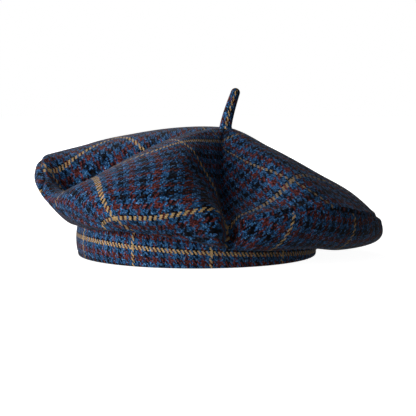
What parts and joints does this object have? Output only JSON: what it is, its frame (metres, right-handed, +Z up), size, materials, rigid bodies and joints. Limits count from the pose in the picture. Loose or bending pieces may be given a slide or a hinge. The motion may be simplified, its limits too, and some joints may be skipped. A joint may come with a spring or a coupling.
{
  "type": "checked wool beret",
  "caption": "Floppy round tam beret of checked wool with a rim seam, a straight headband and a short rolled stalk on top, lying with soft folds.",
  "frame": {"origin": "under the middle of the hat's box, on the surface that the headband rests on", "axes": "+Z up along the headband's axis; the front of the hat looks along -Y; +X is the low side of the tilted crown"},
  "size_m": [0.2706, 0.2542, 0.1286],
  "materials": {
    "crown_top": "soft wool twill, blue and black check with dark red stripes and a thin mustard overcheck",
    "crown_side": "the same checked wool twill, cut as a ring under the rim",
    "headband": "the same checked wool twill, a doubled straight strip",
    "stalk": "the same checked wool twill, rolled tight"
  },
  "bodies": {
    "root": {"crown_top": "crown_top", "crown_side": "crown_side", "headband": "headband", "stalk": "stalk"}
  },
  "joints": []
}
